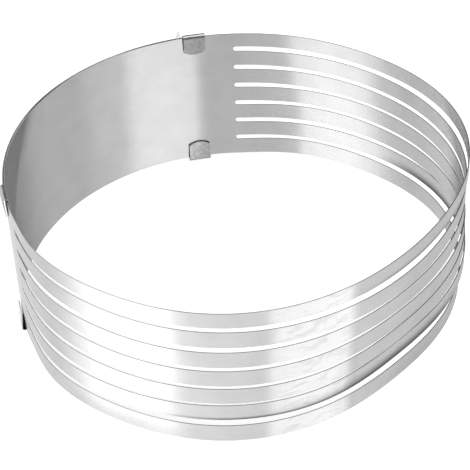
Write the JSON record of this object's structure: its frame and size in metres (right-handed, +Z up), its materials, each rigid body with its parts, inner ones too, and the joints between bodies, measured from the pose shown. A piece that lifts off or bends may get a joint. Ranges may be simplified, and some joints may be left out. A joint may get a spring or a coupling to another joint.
{
  "type": "adjustable cake slicing ring",
  "caption": "Adjustable round cake slicing ring: a slotted spring steel band that closes on itself in folded clips and guides a knife for even layers.",
  "frame": {"origin": "middle of the ring on the surface that it stands on, at its smallest setting", "axes": "+Z up along the ring's axis; -Y is the side with the slicing strips that faces the viewer; the outer end of the band lies near +Y"},
  "size_m": [0.2443, 0.2428, 0.0902],
  "materials": {
    "spring_steel": "bright stainless steel, finely brushed along the band"
  },
  "bodies": {
    "outer_end_panel": {"outer_end_panel": "spring_steel"},
    "outer_panel_1": {"outer_panel_1": "spring_steel"},
    "outer_panel_2": {"outer_panel_2": "spring_steel"},
    "outer_panel_3": {"outer_panel_3": "spring_steel"},
    "outer_panel_4": {"outer_panel_4": "spring_steel"},
    "outer_comb": {"outer_comb": "spring_steel"},
    "span_1": {"strip_1_span_1": "spring_steel", "strip_2_span_1": "spring_steel", "strip_3_span_1": "spring_steel", "strip_4_span_1": "spring_steel", "strip_5_span_1": "spring_steel", "strip_6_span_1": "spring_steel", "strip_7_span_1": "spring_steel"},
    "span_2": {"strip_1_span_2": "spring_steel", "strip_2_span_2": "spring_steel", "strip_3_span_2": "spring_steel", "strip_4_span_2": "spring_steel", "strip_5_span_2": "spring_steel", "strip_6_span_2": "spring_steel", "strip_7_span_2": "spring_steel"},
    "span_3": {"strip_1_span_3": "spring_steel", "strip_2_span_3": "spring_steel", "strip_3_span_3": "spring_steel", "strip_4_span_3": "spring_steel", "strip_5_span_3": "spring_steel", "strip_6_span_3": "spring_steel", "strip_7_span_3": "spring_steel"},
    "span_4": {"strip_1_span_4": "spring_steel", "strip_2_span_4": "spring_steel", "strip_3_span_4": "spring_steel", "strip_4_span_4": "spring_steel", "strip_5_span_4": "spring_steel", "strip_6_span_4": "spring_steel", "strip_7_span_4": "spring_steel"},
    "span_5": {"strip_1_span_5": "spring_steel", "strip_2_span_5": "spring_steel", "strip_3_span_5": "spring_steel", "strip_4_span_5": "spring_steel", "strip_5_span_5": "spring_steel", "strip_6_span_5": "spring_steel", "strip_7_span_5": "spring_steel"},
    "inner_comb": {"inner_comb": "spring_steel"},
    "inner_panel_4": {"inner_panel_4": "spring_steel"},
    "inner_panel_3": {"inner_panel_3": "spring_steel"},
    "inner_panel_2": {"inner_panel_2": "spring_steel"},
    "inner_panel_1": {"inner_panel_1": "spring_steel"},
    "inner_end_panel": {"inner_end_panel": "spring_steel"}
  },
  "joints": [
    {"name": "open_outer_end_panel", "type": "hinge", "parent": "outer_panel_1", "child": "outer_end_panel", "pos_m": [-0.05238, 0.11096, 0.00175], "axis": [0, 0, 1], "range_deg": [0, 3.25]},
    {"name": "open_outer_panel_1", "type": "hinge", "parent": "outer_panel_2", "child": "outer_panel_1", "pos_m": [-0.08285, 0.09074, 0.00175], "axis": [0, 0, 1], "range_deg": [0, 3.27]},
    {"name": "open_outer_panel_2", "type": "hinge", "parent": "outer_panel_3", "child": "outer_panel_2", "pos_m": [-0.10579, 0.06228, 0.00175], "axis": [0, 0, 1], "range_deg": [0, 3.3]},
    {"name": "open_outer_panel_3", "type": "hinge", "parent": "outer_panel_4", "child": "outer_panel_3", "pos_m": [-0.11905, 0.02823, 0.00175], "axis": [0, 0, 1], "range_deg": [0, 3.32]},
    {"name": "open_outer_panel_4", "type": "hinge", "parent": "outer_comb", "child": "outer_panel_4", "pos_m": [-0.1214, -0.00821, 0.00175], "axis": [0, 0, 1], "range_deg": [0, 4.42]},
    {"name": "open_outer_comb", "type": "hinge", "parent": "span_1", "child": "outer_comb", "pos_m": [-0.10281, -0.06553, 0.00175], "axis": [0, 0, 1], "range_deg": [0, 7.03]},
    {"name": "open_span_1", "type": "hinge", "parent": "span_2", "child": "span_1", "pos_m": [-0.02655, -0.11802, 0.00175], "axis": [0, 0, 1], "range_deg": [0, 8.6]},
    {"name": "open_span_2", "type": "hinge", "parent": "span_3", "child": "span_2", "pos_m": [0.0612, -0.0947, 0.00175], "axis": [0, 0, 1], "range_deg": [0, 8.64]},
    {"name": "open_span_4", "type": "hinge", "parent": "span_3", "child": "span_4", "pos_m": [0.11432, -0.02278, 0.00175], "axis": [0, 0, -1], "range_deg": [0, 8.65]},
    {"name": "open_span_5", "type": "hinge", "parent": "span_4", "child": "span_5", "pos_m": [0.10166, 0.06865, 0.00175], "axis": [0, 0, -1], "range_deg": [0, 8.63]},
    {"name": "open_inner_comb", "type": "hinge", "parent": "span_5", "child": "inner_comb", "pos_m": [0.02411, 0.11888, 0.00175], "axis": [0, 0, -1], "range_deg": [0, 7.08]},
    {"name": "open_inner_panel_4", "type": "hinge", "parent": "inner_comb", "child": "inner_panel_4", "pos_m": [-0.03547, 0.11601, 0.00175], "axis": [0, 0, -1], "range_deg": [0, 4.5]},
    {"name": "open_inner_panel_3", "type": "hinge", "parent": "inner_panel_4", "child": "inner_panel_3", "pos_m": [-0.06915, 0.10006, 0.00175], "axis": [0, 0, -1], "range_deg": [0, 3.44]},
    {"name": "open_inner_panel_2", "type": "hinge", "parent": "inner_panel_3", "child": "inner_panel_2", "pos_m": [-0.09621, 0.07444, 0.00175], "axis": [0, 0, -1], "range_deg": [0, 3.42]},
    {"name": "open_inner_panel_1", "type": "hinge", "parent": "inner_panel_2", "child": "inner_panel_1", "pos_m": [-0.11395, 0.0417, 0.00175], "axis": [0, 0, -1], "range_deg": [0, 3.4]},
    {"name": "open_inner_end_panel", "type": "hinge", "parent": "inner_panel_1", "child": "inner_end_panel", "pos_m": [-0.12064, 0.00509, 0.00175], "axis": [0, 0, -1], "range_deg": [0, 3.38]}
  ],
  "couplings": [
    {"joint": "open_outer_end_panel", "follows": "open_span_2", "ratio": 0.37585},
    {"joint": "open_outer_panel_1", "follows": "open_span_2", "ratio": 0.37864},
    {"joint": "open_outer_panel_2", "follows": "open_span_2", "ratio": 0.3812},
    {"joint": "open_outer_panel_3", "follows": "open_span_2", "ratio": 0.38353},
    {"joint": "open_outer_panel_4", "follows": "open_span_2", "ratio": 0.5108},
    {"joint": "open_outer_comb", "follows": "open_span_2", "ratio": 0.8137},
    {"joint": "open_span_1", "follows": "open_span_2", "ratio": 0.99522},
    {"joint": "open_span_4", "follows": "open_span_2", "ratio": 1.0011},
    {"joint": "open_span_5", "follows": "open_span_2", "ratio": 0.99853},
    {"joint": "open_inner_comb", "follows": "open_span_2", "ratio": 0.81868},
    {"joint": "open_inner_panel_4", "follows": "open_span_2", "ratio": 0.52045},
    {"joint": "open_inner_panel_3", "follows": "open_span_2", "ratio": 0.39812},
    {"joint": "open_inner_panel_2", "follows": "open_span_2", "ratio": 0.39607},
    {"joint": "open_inner_panel_1", "follows": "open_span_2", "ratio": 0.39377},
    {"joint": "open_inner_end_panel", "follows": "open_span_2", "ratio": 0.39124}
  ]
}
